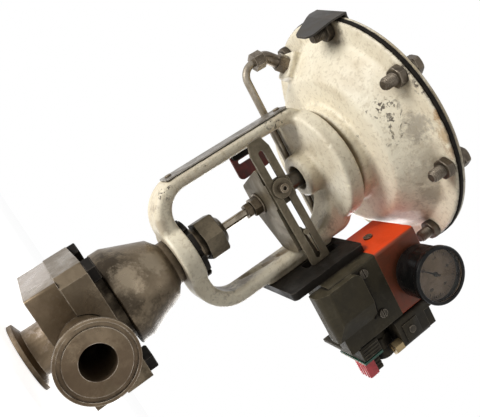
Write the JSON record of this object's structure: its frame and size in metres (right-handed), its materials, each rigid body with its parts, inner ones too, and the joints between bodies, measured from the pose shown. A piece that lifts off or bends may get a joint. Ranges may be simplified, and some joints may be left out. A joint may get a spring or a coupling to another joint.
{
  "type": "pneumatic control valve",
  "caption": "Angle control valve with clamp ferrules, bolted bonnet, cast yoke, diaphragm actuator, slotted travel plate, and a positioner with gauge.",
  "frame": {"origin": "centre of the inlet ferrule's face", "axes": "+Z along the valve stem up to the actuator, -Y out of the outlet ferrule, +X towards the positioner"},
  "size_m": [0.2546, 0.2044, 0.344],
  "materials": {
    "cast_stainless": "rough cast, stained",
    "turned_stainless": "turned",
    "grey_steel": "dull, worn",
    "fitting_steel": "satin",
    "strip_metal": "satin",
    "black_steel": "matt",
    "bolt_steel": "zinc, dulled",
    "cream_paint": "worn gloss",
    "red_paint": "worn",
    "orange_paint": "satin",
    "dark_cover": "fine texture",
    "black_plastic": "satin",
    "brass": "dull",
    "green_board": "satin",
    "red_plastic": "gloss",
    "packing": "waxy",
    "gasket": "matt",
    "spring_steel": "satin",
    "gauge_black": "gloss",
    "dial": "satin",
    "window": "clear",
    "pointer": "satin"
  },
  "bodies": {
    "frame": {"valve_body": "cast_stainless", "bonnet": "cast_stainless", "seat_ring": "turned_stainless", "packing_follower": "turned_stainless", "packing_nut": "grey_steel", "air_tube": "fitting_steel", "air_elbow": "fitting_steel", "rear_fitting": "fitting_steel", "name_strip": "strip_metal", "bonnet_bolts": "black_steel", "yoke_lock_nut": "black_steel", "mounting_plate": "black_steel", "indicator_bracket": "black_steel", "casing_bolts": "bolt_steel", "casing_nuts": "bolt_steel", "casing_washers": "bolt_steel", "yoke_casing_screws": "bolt_steel", "mounting_screws": "bolt_steel", "cover_screws": "bolt_steel", "housing_screw": "bolt_steel", "indicator_screws": "bolt_steel", "strip_screws": "bolt_steel", "yoke": "cream_paint", "casing_lower": "cream_paint", "casing_upper": "cream_paint", "indicator_plate": "red_paint", "positioner_housing": "orange_paint", "positioner_cover": "dark_cover", "manifold_block": "dark_cover", "terminal_block": "black_plastic", "black_connector": "black_plastic", "cable_gland": "black_plastic", "vent_plug": "black_plastic", "tag_plate": "black_plastic", "brass_fitting": "brass", "stem_bushing": "brass", "shaft_bush": "brass", "terminal_board": "green_board", "red_plug": "red_plastic", "packing_set": "packing", "bonnet_gasket": "gasket", "diaphragm": "gasket", "spring": "spring_steel", "gauge_case": "gauge_black", "gauge_bezel": "gauge_black", "gauge_dial": "dial", "gauge_glass": "window"},
    "stem": {"valve_plug": "turned_stainless", "valve_stem": "turned_stainless", "stem_lock_nuts": "turned_stainless", "stem_washer": "turned_stainless", "connector_plate": "grey_steel", "slotted_plate": "grey_steel", "clamp_disc": "turned_stainless", "clamp_screw": "turned_stainless", "actuator_stem": "turned_stainless", "diaphragm_plate": "spring_steel", "stem_top_nut": "bolt_steel"},
    "lever": {"feedback_lever": "grey_steel"},
    "pointer": {"gauge_pointer": "pointer"}
  },
  "joints": [
    {"name": "stem_travel", "type": "slide", "parent": "frame", "child": "stem", "axis": [0, 0, 1], "range_m": [0, 0.014], "stiffness_N_per_m": 20000, "springref_m": -0.008, "deforming": ["spring", "diaphragm"]},
    {"name": "lever_turn", "type": "hinge", "parent": "frame", "child": "lever", "pos_m": [0.092, -0.018, 0.218], "axis": [0, 1, 0], "range_deg": [0, 12.9]},
    {"name": "gauge_sweep", "type": "hinge", "parent": "frame", "child": "pointer", "pos_m": [0.093, -0.084, 0.262], "axis": [0, 1, 0], "range_deg": [0, 270], "stiffness_Nm_per_rad": 0.0002}
  ],
  "couplings": [
    {"joint": "lever_turn", "follows": "stem_travel", "rad_per_m": 16.061}
  ]
}
